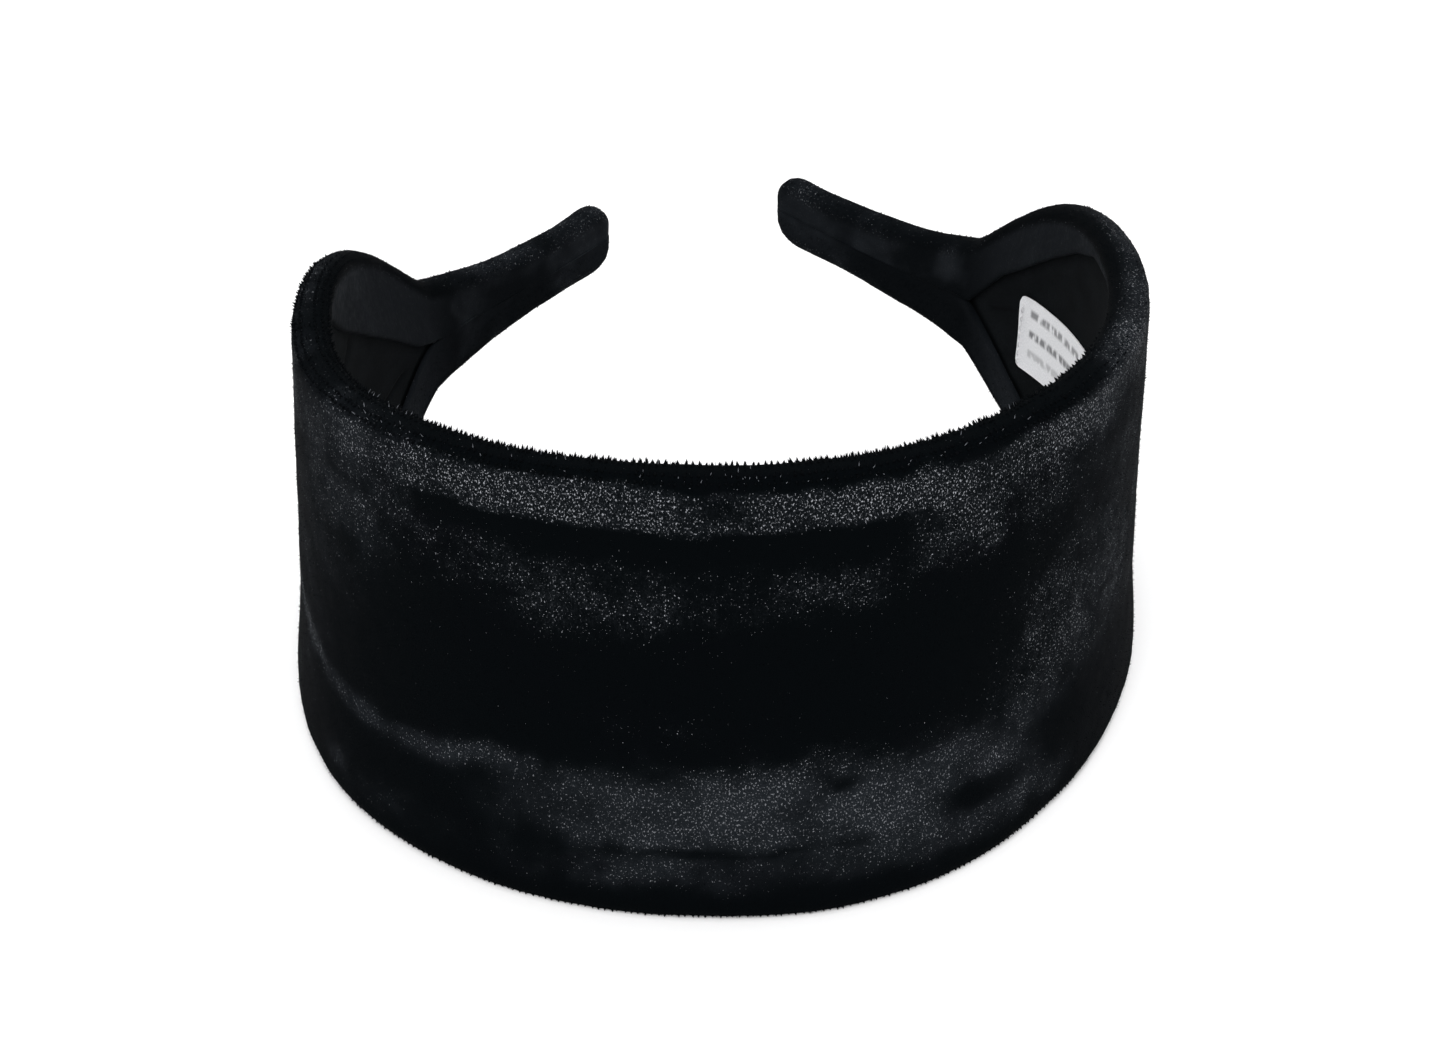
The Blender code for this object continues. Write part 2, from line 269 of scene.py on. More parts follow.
def give_thickness(piece, thickness):
    """Thicken a sheet of cloth inward, and keep its cut edges sharp."""
    solid = piece.modifiers.new("Thickness", "SOLIDIFY")
    solid.thickness = thickness
    solid.offset = -1.0
    bpy.context.view_layer.update()
    graph = bpy.context.evaluated_depsgraph_get()
    mesh = bpy.data.meshes.new_from_object(piece.evaluated_get(graph), depsgraph=graph)
    piece.modifiers.clear()
    piece.data = mesh
    mesh.set_sharp_from_angle(angle=math.radians(60.0))


def quads(index):
    """The quads between the points of a grid, given the points' numbers."""
    corners = (index[:-1, :-1], index[1:, :-1], index[1:, 1:], index[:-1, 1:])
    return np.stack(corners, axis=-1).reshape(-1, 4)


def grid_faces(rows, columns, flip=False):
    """The quads of a grid of points numbered row by row."""
    faces = quads(np.arange(rows * columns).reshape(rows, columns))
    return (faces[:, ::-1] if flip else faces).tolist()


def unit(vectors):
    """Vectors made one long."""
    return vectors / np.maximum(np.linalg.norm(vectors, axis=-1, keepdims=True), 1e-12)


def grid_normals(points):
    """Unit normals of a grid of points."""
    return unit(np.cross(np.gradient(points, axis=0), np.gradient(points, axis=1)))


def set_values(mesh, name, values):
    """A number at each point of a mesh, for its material to read."""
    attribute = mesh.attributes.new(name, "FLOAT", "POINT")
    attribute.data.foreach_set("value", np.asarray(values, np.float32).ravel())


def set_places(mesh, along, across):
    """Where each point lies along and across the cloth, for its material to read."""
    values = np.stack((along.ravel(), across.ravel(), np.zeros(along.size)), axis=-1)
    attribute = mesh.attributes.new("cloth", "FLOAT_VECTOR", "POINT")
    attribute.data.foreach_set("vector", values.astype(np.float32).ravel())


# ---- the velvet

FLANGE_ROWS = 22
CORNER_ROWS = 7
FACE_ROWS = 90
ROUND_END = 0.0026
TIP_BLUNTNESS = 2.5


def past_root(s):
    """How far stations lie past the root of their arm. Less than 0 on the panel."""
    return np.abs(s) - np.where(s < 0.0, LEFT.root, RIGHT.root)


def tip_taper(band):
    """How open each section still is near its arm's tip, in height and in thickness."""
    length = np.where(band.s < 0.0, LEFT_LENGTH, RIGHT_LENGTH)
    from_tip = np.maximum(length - np.abs(band.s), 0.0)
    gone = 1.0 - np.minimum(from_tip / ARM_HALF_WIDTH[2], 1.0)
    height = (1.0 - gone ** TIP_BLUNTNESS) ** (1.0 / TIP_BLUNTNESS)
    gone = 1.0 - np.minimum(from_tip / ROUND_END, 1.0)
    depth = np.sqrt(np.clip(1.0 - gone ** 2, 0.0, 1.0))
    return height, depth


# Where the velvet turned to the inside ends, as places across the band at stations along it.
# At the shoulders both ends swing in to the middle, where the arm's seam begins.
TURN_HIGH = (
    (-0.159, 0.00003), (-0.155, 0.0012), (-0.144, 0.0085), (-0.133, 0.015), (-0.122, 0.0215),
    (-0.112, 0.0285), (-0.105, 0.0322), (0.105, 0.0322), (0.118, 0.0305), (0.129, 0.026),
    (0.14, 0.0195), (0.155, 0.0095), (0.1645, 0.00003),
)
TURN_LOW = (
    (-0.159, 0.00003), (-0.155, 0.003), (-0.148, 0.01), (-0.135, 0.019), (-0.12, 0.0262),
    (-0.1, 0.03), (0.1, 0.03), (0.12, 0.0272), (0.14, 0.02), (0.152, 0.011),
    (0.16, 0.004), (0.1645, 0.00003),
)
# How far a cut edge dips under its own thickness, and over what width it curls.
TURN_DIP = 0.0008
TURN_CURL = 0.0012
SEAM_DIP = 0.00005
SEAM_CURL = 0.0003
FOOT_FULLNESS = 0.0008


def velvet_section(band):
    """The velvet's outer line at every station, from one cut edge to the other."""
    height, depth = tip_taper(band)
    low = (band.low + PILE_PROUD) * height
    high = (band.high + PILE_PROUD) * height
    half = (0.5 * band.thickness + PILE_PROUD) * depth
    radius = np.minimum(np.minimum(EDGE_RADIUS, 0.98 * half), 0.98 * np.minimum(low, high))
    end_low = np.interp(band.s, *zip(*TURN_LOW)) * height
    end_high = np.interp(band.s, *zip(*TURN_HIGH)) * height
    on_arm = smooth(-0.004, 0.002, past_root(band.s))
    dip = (TURN_DIP + (SEAM_DIP - TURN_DIP) * on_arm) * depth
    curl_over = TURN_CURL + (SEAM_CURL - TURN_CURL) * on_arm
    across = []
    deep = []
    turned_steps = (np.arange(FLANGE_ROWS) / FLANGE_ROWS) ** 1.4

    def turned(a0, a1, t):
        """A turned edge, from its cut end at a0. It curls down under its own thickness there."""
        curl = np.clip(1.0 - np.abs(a1 - a0) * t / curl_over, 0.0, 1.0)
        across.append(a0 + (a1 - a0) * t)
        deep.append(-half + dip * (1.0 - np.sqrt(1.0 - curl ** 2)))

    def rounded(a, d, start):
        for t in np.arange(CORNER_ROWS) / CORNER_ROWS:
            angle = math.radians(start + 90.0 * t)
            across.append(a + radius * math.sin(angle))
            deep.append(d + radius * math.cos(angle))

    for t in turned_steps:
        turned(-end_low, -low + radius, t)
    rounded(-low + radius, -half + radius, 180.0)
    rounded(-low + radius, half - radius, 270.0)
    first, last = -low + radius, high - radius
    for t in np.arange(FACE_ROWS) / FACE_ROWS:
        across.append(first + (last - first) * t)
        deep.append(half)
    rounded(high - radius, half - radius, 0.0)
    rounded(high - radius, -half + radius, 90.0)
    for t in turned_steps[::-1]:
        turned(end_high, high - radius, t)
    turned(end_high, high - radius, 0.0)
    return np.stack(across, axis=1), np.stack(deep, axis=1)


def cloth_places(points, s):
    """Distances along and across the cloth over a grid. Across is from the middle column."""
    steps = np.linalg.norm(np.diff(points, axis=1), axis=-1)
    across = np.concatenate((np.zeros((len(points), 1)), np.cumsum(steps, axis=1)), axis=1)
    middle = across.shape[1] // 2
    across -= across[:, middle:middle + 1]
    return np.broadcast_to(s[:, None], across.shape), across


# Where the pile is crushed, and where its sheen and glints are painted into the colour: place along
# and across the band, half size, firmness of the edge, slope and strength. Elsewhere it stands up
# and stays dark, without painted sheen, as it does along the ridge and in the patches of STANDING.
CRUSHED_AND_SHEEN = (
    ((-0.0175, 0.0332), (0.05, 0.0037), 8.0, 0.0, 0.97),
    ((-0.064, 0.0285), (0.015, 0.009), 2.2, 0.0, 0.55),
    ((-0.069, 0.019), (0.013, 0.011), 2.0, 0.0, 0.32),
    ((0.032, 0.029), (0.0085, 0.009), 3.0, 0.0, 0.72),
    ((0.053, 0.0325), (0.02, 0.0036), 3.0, -0.02, 0.6),
    ((0.066, 0.0356), (0.026, 0.0024), 3.0, 0.05, 0.82),
    ((0.05, 0.0255), (0.02, 0.007), 2.0, 0.0, 0.42),
    ((-0.0215, 0.018), (0.014, 0.008), 2.2, 0.0, 0.5),
    ((-0.04, 0.02), (0.014, 0.0066), 2.0, 0.0, 0.38),
    ((0.008, 0.0196), (0.016, 0.0054), 2.2, 0.0, 0.48),
    ((0.059, 0.0), (0.019, 0.015), 3.0, 0.15, 0.55),
    ((0.083, 0.006), (0.019, 0.03), 2.0, 0.0, 0.36),
    ((-0.088, 0.008), (0.015, 0.03), 2.0, 0.0, 0.27),
    ((-0.108, 0.0305), (0.034, 0.0062), 3.0, 0.0, 0.58),
    ((0.112, 0.034), (0.036, 0.008), 3.0, 0.0, 0.58),
    ((0.004, -0.0192), (0.042, 0.0078), 4.0, 0.0, 0.84),
    ((0.029, -0.0238), (0.023, 0.0068), 3.0, -0.03, 0.62),
    ((0.016, -0.01), (0.03, 0.004), 2.0, 0.0, 0.26),
    ((-0.013, -0.004), (0.015, 0.0034), 2.0, 0.0, 0.18),
    ((-0.015, -0.0303), (0.02, 0.0034), 2.6, 0.0, 0.5),
    ((0.03, -0.0303), (0.024, 0.003), 2.6, 0.0, 0.52),
    ((-0.0717, -0.029), (0.0034, 0.0036), 2.0, 0.3, 0.42),
    ((-0.056, -0.0305), (0.01, 0.003), 2.0, 0.0, 0.28),
)
RIDGE = (
    (-0.094, -0.0105), (-0.082, -0.013), (-0.068, -0.0168), (-0.058, -0.018),
    (-0.05, -0.016), (-0.044, -0.0136), (-0.034, -0.0128),
)
RIDGE_WIDTH = 0.0042
RIDGE_STRENGTH = 0.52
STANDING = (
    ((-0.0062, 0.034), (0.0048, 0.0034), 2.0, 0.1, 0.6),
    ((0.0125, -0.015), (0.004, 0.002), 2.0, 0.0, 0.7),
    ((0.0345, -0.0245), (0.009, 0.0026), 3.0, -0.05, 0.95),
    ((-0.004, -0.0263), (0.022, 0.0009), 2.5, 0.0, 0.6),
    ((0.056, -0.022), (0.012, 0.005), 2.5, 0.0, 0.85),
    ((0.048, 0.0385), (0.022, 0.0018), 2.5, 0.0, 0.8),
    ((-0.01, 0.0272), (0.038, 0.0026), 3.0, 0.0, 0.8),
)


def crushed_pile_and_sheen(s, a):
    """How crushed the pile of the outer face is, from 0 to 1, and so how much sheen the colour is
    painted with.
    """
    s_bent = s + 0.0040 * lumpy(s, a, 0.012, 11, 4)
    a_bent = a + 0.0016 * lumpy(s, a, 0.009, 21, 4)
    bare = 1.0 - RIDGE_STRENGTH * near_line(s_bent, a_bent, RIDGE, RIDGE_WIDTH)
    for *where, strength in CRUSHED_AND_SHEEN:
        bare *= 1.0 - strength * patch(s_bent, a_bent, *where)
    for *where, strength in STANDING:
        bare = 1.0 - (1.0 - bare) * (1.0 - strength * patch(s_bent, a_bent, *where))
    shine = 1.0 - bare
    # Painted sheen on the sides, a grey haze where the band turns away from the front.
    around = 0.50 * smooth(-0.30, 0.80, lumpy(s, a, 0.017, 31, 4))
    shine = np.maximum(shine, around * smooth(0.070, 0.100, np.abs(s)))
    broken = 0.25 + 0.75 * smooth(-0.65, 0.45, lumpy(s, a, 0.0042, 56, 4) + 1.8 * (shine - 0.30))
    mottled = 0.94 + 0.70 * lumpy(s, a, 0.0065, 51, 4)
    return np.clip(shine * mottled * broken, 0.0, 1.0)


# How crushed the pile is on the arms, everywhere, in blotches and at the tips, and where it is
# turned to the inside, everywhere and in blotches. The colour is painted lighter there, as sheen.
ARM_CRUSH_AND_SHEEN = (0.10, 0.56, 0.20)
INNER_CRUSH_AND_SHEEN = (0.44, 0.24)
# How much painted sheen haze the velvet gets on the arms, low on the front, and on its sides: a
# greyer colour with fewer painted glints.
ARM_MATT_HAZE = 0.55
LOW_MATT_HAZE = 0.55
SIDE_MATT_HAZE = 0.45
# The relief of the cloth: wide and narrow swells, tufts, and how much lower crushed pile lies.
SWELLS = (0.00040, 0.00012)
TUFTS = 0.00004
CRUSHED_LOWER = 0.00022
TIP_EASE = 0.0035


def build_velvet_grid():
    """The whole velvet from tip to tip: its points, and what its material reads."""
    count = int(round((LEFT_LENGTH + RIGHT_LENGTH) / ALONG_STEP))
    s = np.linspace(-LEFT_LENGTH, RIGHT_LENGTH, count + 1)
    for length, sign in ((LEFT_LENGTH, -1.0), (RIGHT_LENGTH, 1.0)):
        near = (length - np.abs(s) < TIP_EASE) & (np.sign(s) == sign)
        gone = (length - np.abs(s[near])) / TIP_EASE
        s[near] = sign * (length - TIP_EASE * gone ** 2)
    band = Band(s)
    across, deep = velvet_section(band)
    points = band.point(across, deep)
    along, over = cloth_places(points, s)
    normals = grid_normals(points)
    middle = points.shape[1] // 2
    if np.sum(normals[:, middle] * band.outward) < 0.0:
        normals = -normals
    height, _ = tip_taper(band)
    level = deep / np.maximum(0.5 * band.thickness[:, None], 1e-6)
    outer = smooth(-0.9, 0.3, level)
    from_edge = np.minimum(band.high[:, None] - across, across + band.low[:, None])
    inner = smooth(-0.5, -1.0, level) * smooth(0.0008, 0.0032, from_edge)
    # How crushed the pile is, and so how much sheen and glint the material paints into its colour.
    front = crushed_pile_and_sheen(along, across)
    blotches = smooth(-0.10, 0.80, lumpy(along, over, 0.010, 91, 4))
    away = np.abs(along)
    arms = smooth(0.150, 0.172, away)
    base, blotched, tip = ARM_CRUSH_AND_SHEEN
    on_arms = base + blotched * blotches + tip * smooth(0.192, 0.208, away)
    crush_and_sheen = outer * (1.0 - arms) * front + arms * on_arms
    # The turned-in border is painted lighter too, as sheen where its pile lies flat.
    base, blotched = INNER_CRUSH_AND_SHEEN
    crush_and_sheen = np.maximum(crush_and_sheen, (1.0 - arms) * inner * (base + blotched * blotches))
    # Painted sheen haze low on the front and on the sides.
    low_haze = LOW_MATT_HAZE * smooth(-0.006, -0.016, across)
    painted_haze = outer * np.maximum(low_haze, SIDE_MATT_HAZE * smooth(0.048, 0.070, away))
    wide, narrow = SWELLS
    swell = wide * lumpy(along, over, 0.032, 61) + narrow * lumpy(along, over, 0.010, 71)
    tufts = TUFTS * value_noise(along, over, 0.0017, 82)
    full = FOOT_FULLNESS * outer * (1.0 - arms) * smooth(-0.012, -0.032, across)
    moved = (swell + tufts - CRUSHED_LOWER * crush_and_sheen) * height[:, None] + full
    points = points + moved[..., None] * normals
    points[..., 2] = np.maximum(points[..., 2], FLOOR_CLEAR)
    return {
        "s": s, "points": points, "normals": grid_normals(points),
        "along": along, "over": over, "crush_and_sheen": crush_and_sheen,
        "matt_and_haze": np.maximum(np.maximum(inner, ARM_MATT_HAZE * arms), painted_haze),
    }


def cut_velvet(grid, name, start, end):
    """One piece of the velvet, between two stations. Its closed tip is welded to a point."""
    rows = np.nonzero((grid["s"] >= start) & (grid["s"] <= end))[0]
    if start > -LEFT_LENGTH:
        rows = np.concatenate((rows[:1] - 1, rows))
    points = grid["points"][rows]
    made = new_mesh(name, points, grid_faces(*points.shape[:2]))
    set_places(made.data, grid["along"][rows], grid["over"][rows])
    set_values(made.data, "crush_and_sheen", grid["crush_and_sheen"][rows])
    set_values(made.data, "matt_and_haze", grid["matt_and_haze"][rows])
    shape = bmesh.new()
    shape.from_mesh(made.data)
    bmesh.ops.remove_doubles(shape, verts=shape.verts, dist=1e-6)
    shape.to_mesh(made.data)
    shape.free()
    give_thickness(made, VELVET_SHEET)
    return made


# ---- closed strips inside the cloth


def strip(name, stations, low, high, inside, outside, columns=10):
    """A closed strip along the band with rounded edges, from low to high across it."""
    band = Band(stations)
    radius = 0.49 * np.minimum(outside - inside, high - low)
    turns = np.radians(np.linspace(180.0, 360.0, 9))
    spans = np.linspace(0.0, 1.0, columns + 1)[1:-1]
    across = [low + radius + radius * np.sin(turn) for turn in turns]
    across += [low + radius + (high - low - 2.0 * radius) * t for t in spans]
    across += [high - radius - radius * np.sin(turn) for turn in turns[::-1]]
    across += [high - radius - (high - low - 2.0 * radius) * t for t in spans]
    middle = 0.5 * (inside + outside)
    deep = [middle + 0.5 * (outside - inside) * np.cos(turn) for turn in turns]
    deep += [outside] * len(spans)
    deep += [middle + 0.5 * (outside - inside) * np.cos(turn) for turn in turns[::-1]]
    deep += [inside] * len(spans)
    points = band.point(np.stack(across, axis=1), np.stack(deep, axis=1))
    points[..., 2] = np.maximum(points[..., 2], INNER_CLEAR)
    rows, count = points.shape[:2]
    index = np.arange(rows * count).reshape(rows, count)
    around = np.concatenate((index, index[:, :1]), axis=1)
    faces = quads(around).tolist() + [index[0].tolist(), index[-1, ::-1].tolist()]
    made = new_mesh(name, points, faces)
    face_outward(made)
    steps = np.linalg.norm(np.diff(points, axis=1, prepend=points[:, :1]), axis=-1)
    set_places(made.data, np.broadcast_to(band.s[:, None], steps.shape), np.cumsum(steps, axis=1))
    return made


def face_outward(piece):
    """Point the faces of a closed mesh outward."""
    shape = bmesh.new()
    shape.from_mesh(piece.data)
    bmesh.ops.recalc_face_normals(shape, faces=shape.faces)
    shape.to_mesh(piece.data)
    shape.free()
    piece.data.shade_smooth()


# ---- the lining, label and threads

LINING_RAISED = 0.0005
LINING_STEP = 0.0010
LINING_ROWS = 60
LINING_UNDER = 0.0016
# The lining's folds: points along and across, width and depth, painted darker as shading.
LINING_FOLDS = (
    (((-0.131, 0.02), (-0.121, 0.012), (-0.108, 0.008)), 0.0012, 0.0004),
    (((-0.15, -0.002), (-0.141, -0.0055)), 0.001, 0.00035),
    (((-0.128, -0.004), (-0.104, -0.014)), 0.0014, 0.0003),
    (((0.104, 0.024), (0.088, 0.015), (0.064, 0.012)), 0.0018, 0.0003),
    (((0.15, 0.004), (0.158, 0.001)), 0.001, 0.0003),
    (((-0.07, -0.01), (-0.03, -0.004), (0.01, -0.008)), 0.0022, 0.00025),
)


def make_lining():
    """The lining, slack over the core, with its edges under the turned velvet."""
    start = -(LEFT.root - GAP)
    end = RIGHT.root - GAP
    s = np.linspace(start, end, int((end - start) / LINING_STEP))
    band = Band(s)
    low = np.interp(s, *zip(*TURN_LOW)) + LINING_UNDER
    high = np.interp(s, *zip(*TURN_HIGH)) + LINING_UNDER
    t = np.linspace(0.0, 1.0, LINING_ROWS)
    across = -low[:, None] + (low + high)[:, None] * t
    along = np.broadcast_to(s[:, None], across.shape)
    edge = np.minimum(across + low[:, None], high[:, None] - across)
    raised = LINING_RAISED * smooth(0.0012, 0.0050, edge)
    raised *= smooth(0.0, 0.006, np.minimum(along - start, end - along))
    raised *= 1.0 + 0.6 * lumpy(along, across, 0.020, 101)
    fold = np.zeros(across.shape)
    for line, width, depth in LINING_FOLDS:
        fold = np.maximum(fold, near_line(along, across, line, width) * depth)
    raised = np.maximum(raised - fold, 0.0)
    deep = -0.5 * band.thickness[:, None] + VELVET_TURNED + GAP - raised
    points = band.point(across, deep)
    points += 0.00002 * value_noise(along, across, 0.0012, 111)[..., None] * band.outward[:, None]
    made = new_mesh("lining_cloth", points, grid_faces(*points.shape[:2], flip=True))
    set_places(made.data, along, across)
    # How deep each fold is, which the material paints darker as painted shading.
    set_values(made.data, "crease_shading", fold / 0.0004)
    give_thickness(made, LINING)
    return made


LABEL_CORNER = 0.0014
LABEL_TILT = -0.06
LABEL_SKEW = 0.16
LABEL_LINES = ((0.005, 0.9), (0.0006, 1.0), (-0.0036, 0.5))
LABEL_SHEET = 0.00022
LABEL_LIFT = 0.00018
LABEL_WAVE = 0.00012
LABEL_END_LIFT = 0.00035


def label_surface(u, v):
    """Places on the label, u along the band and v across it. Its back end is cut askew."""
    middle = 0.5 * (LABEL_START + LABEL_END)
    middle_across = 0.5 * (LABEL_LOW + LABEL_HIGH)
    u = u - LABEL_SKEW * v * smooth(0.0, LABEL_END - middle, u)
    return middle + u - LABEL_TILT * v, middle_across + v + LABEL_TILT * u


def make_label():
    """The satin care label: a ribbon with rounded corners, lifting a little at its ends."""
    half = 0.5 * (LABEL_END - LABEL_START)
    tall = 0.5 * (LABEL_HIGH - LABEL_LOW)
    columns, rows = 64, 34
    u = np.linspace(-half, half, columns)
    t = np.linspace(-1.0, 1.0, rows)
    from_end = np.minimum(half - np.abs(u), LABEL_CORNER)
    round_off = LABEL_CORNER ** 2 - (LABEL_CORNER - from_end) ** 2
    shorter = LABEL_CORNER - np.sqrt(np.maximum(round_off, 0.0))
    v = t[None, :] * (tall - shorter[:, None])
    across_u = np.broadcast_to(u[:, None], v.shape)
    along, across = label_surface(across_u, v)
    flat = Band(along.ravel())
    lift = LABEL_LIFT + LABEL_WAVE * lumpy(along, across, 0.012, 121)
    at_end = smooth(0.004, 0.0, half - np.abs(across_u))
    lift += LABEL_END_LIFT * at_end * smooth(-0.3, 0.9, t)[None, :]
    inside = -0.5 * flat.thickness + VELVET_TURNED + GAP - 1.5 * LINING_RAISED
    deep = inside - lift.ravel()
    place = flat.centre + across.ravel()[:, None] * flat.rule + deep[:, None] * flat.outward + SHIFT
    points = place.reshape(columns, rows, 3)
    made = new_mesh("care_label_cloth", points, grid_faces(columns, rows, flip=True))
    set_places(made.data, across_u, v)
    give_thickness(made, LABEL_SHEET)
    return made


def round_thread(name, lines, radius, sides=6):
    """Round threads, each a closed tube through a line of points."""
    points = []
    faces = []
    for line in lines:
        line = np.asarray(line)
        ahead = unit(np.gradient(line, axis=0))
        side = unit(np.cross(ahead, (0.13, 0.21, 0.97)))
        up = np.cross(side, ahead)
        base = len(points)
        for k, place in enumerate(line):
            for turn in np.arange(sides) * 2.0 * math.pi / sides:
                around = math.cos(turn) * side[k] + math.sin(turn) * up[k]
                points.append(place + radius * around)
        for k in range(len(line) - 1):
            for i in range(sides):
                j = (i + 1) % sides
                row = base + k * sides
                faces.append((row + i, row + j, row + sides + j, row + sides + i))
        last = base + (len(line) - 1) * sides
        faces.append(tuple(range(base, base + sides))[::-1])
        faces.append(tuple(range(last, last + sides)))
    made = new_mesh(name, points, faces)
    face_outward(made)
    return made


# ---- the pile's fringe

LOW_EDGE = FLANGE_ROWS + CORNER_ROWS
FACE_LOW = LOW_EDGE + CORNER_ROWS
FACE_HIGH = FACE_LOW + FACE_ROWS
HIGH_EDGE = FACE_HIGH + CORNER_ROWS
CLUMP = 0.00100
TUFT_SUNK = 0.00025
EDGE_TEETH = 5
EDGE_SPREAD = 4.0
TOOTH_RADIUS = 0.00042
HAIR_RADIUS = 0.00010
HIGH_PILE = 0.00085
LOW_PILE = 0.00038
FUZZ_LENGTH = (0.00018, 0.00042)
GLINT_SPAN = (-0.072, 0.048)
GLINT_SHARE = 0.36


def on_grid(grid, row, column):
    """Place, normal and direction along the band at fractional rows and columns of the velvet."""
    i = np.clip(row.astype(int), 0, grid["points"].shape[0] - 2)
    j = np.clip(column.astype(int), 0, grid["points"].shape[1] - 2)
    a = (row - i)[:, None]
    b = (column - j)[:, None]
    found = []
    for key in ("points", "normals"):
        of = grid[key]
        near = of[i, j] * (1 - a) * (1 - b) + of[i + 1, j] * a * (1 - b)
        found.append(near + of[i, j + 1] * (1 - a) * b + of[i + 1, j + 1] * a * b)
    ahead = unit(grid["points"][i + 1, j] - grid["points"][i, j])
    return found[0], unit(found[1]), ahead


def pressed_down(s):
    """How far the pile of an edge is pressed down and thinned, from 0 on the front to 1."""
    return np.maximum(smooth(0.045, 0.092, s), smooth(0.110, 0.135, -s))


def edge_hairs(start, end, edge, tall, strands, seed):
    """Hairs in clumps along an edge, as rows of station, column, length, lean and radius."""
    rng = np.random.default_rng(seed)
    clumps = int((end - start) / CLUMP)
    middle = start + (np.arange(clumps) + 0.5 + rng.uniform(-0.2, 0.2, clumps)) * CLUMP
    height = tall * rng.uniform(0.55, 1.15, clumps) * (1.0 - 0.65 * pressed_down(middle))
    lean = rng.uniform(-0.25, 0.25, clumps)
    batches = []
    for column in np.linspace(-1.0, 1.0, EDGE_TEETH) * EDGE_SPREAD:
        batches.append((middle, edge + column, 0.9 * height, lean, TOOTH_RADIUS))
    for strand in range(strands):
        offset = rng.uniform(-0.36, 0.36, clumps)
        column = edge + rng.uniform(-1.3, 1.3, clumps) * EDGE_SPREAD
        length = height * rng.uniform(0.75, 1.15, clumps)
        batches.append((middle + offset * CLUMP, column, length, lean - 0.6 * offset, HAIR_RADIUS))
    rows = [np.broadcast_arrays(*batch) for batch in batches]
    hairs = np.concatenate([np.stack(row) for row in rows], axis=1)
    return hairs[:, rng.uniform(0.0, 1.0, hairs.shape[1]) > 0.75 * pressed_down(hairs[0])]


def make_painted_glints(grid, name, seed):
    """The few tips of pile along the upper edge, coloured pale as a painted highlight where they
    catch the light.
    """
    rng = np.random.default_rng(seed)
    hairs = edge_hairs(*GLINT_SPAN, HIGH_EDGE, HIGH_PILE, 3, seed + 1)
    hairs = hairs[:, hairs[4] < TOOTH_RADIUS]
    kept = rng.uniform(0.0, 1.0, hairs.shape[1]) < GLINT_SHARE
    return grow(grid, name, hairs[:, kept], rng)


def make_tufts(grid, name, start, end, strands, fuzz, seed):
    """Slivers of pile in clumps along both edges, and scattered over the rest."""
    rng = np.random.default_rng(seed)
    first = FLANGE_ROWS * 0.4
    scattered = np.stack((
        rng.uniform(start, end, fuzz),
        rng.uniform(first, 2 * HIGH_EDGE + CORNER_ROWS - FACE_HIGH - first, fuzz),
        rng.uniform(*FUZZ_LENGTH, fuzz),
        rng.uniform(-0.7, 0.7, fuzz),
        np.full(fuzz, HAIR_RADIUS),
    ))
    high = edge_hairs(start, end, HIGH_EDGE, HIGH_PILE, strands, seed + 1)
    low = edge_hairs(start, end, LOW_EDGE, LOW_PILE, strands, seed + 2)
    hairs = np.concatenate((high, low, scattered), axis=1)
    return grow(grid, name, hairs[:, (hairs[0] > start) & (hairs[0] < end)], rng)


def grow(grid, name, hairs, rng):
    """Thin closed slivers of pile, from their stations, columns, lengths, leans and radii."""
    station, column, length, lean, radius = hairs
    row = np.interp(station, grid["s"], np.arange(len(grid["s"])))
    place, normal, ahead = on_grid(grid, row, column)
    side = np.cross(normal, ahead)
    across = rng.uniform(-0.3, 0.3, len(lean))
    direction = unit(normal + lean[:, None] * ahead + across[:, None] * side)
    root = place - normal * TUFT_SUNK
    turn = rng.uniform(0.0, 2.0 * math.pi, len(lean))
    corners = []
    for k in range(3):
        angle = turn + k * 2.0 * math.pi / 3.0
        around = np.cos(angle)[:, None] * ahead + np.sin(angle)[:, None] * side
        corners.append(root + radius[:, None] * around)
    corners.append(place + direction * length[:, None])
    points = np.stack(corners, axis=1)
    points[..., 2] = np.maximum(points[..., 2], 0.4 * FLOOR_CLEAR)
    base = np.arange(len(lean))[:, None] * 4
    sides = ((0, 2, 1), (0, 1, 3), (1, 2, 3), (2, 0, 3))
    faces = np.concatenate([base + np.array(corner) for corner in sides])
    return new_mesh(name, points, faces.tolist())


# ---- materials


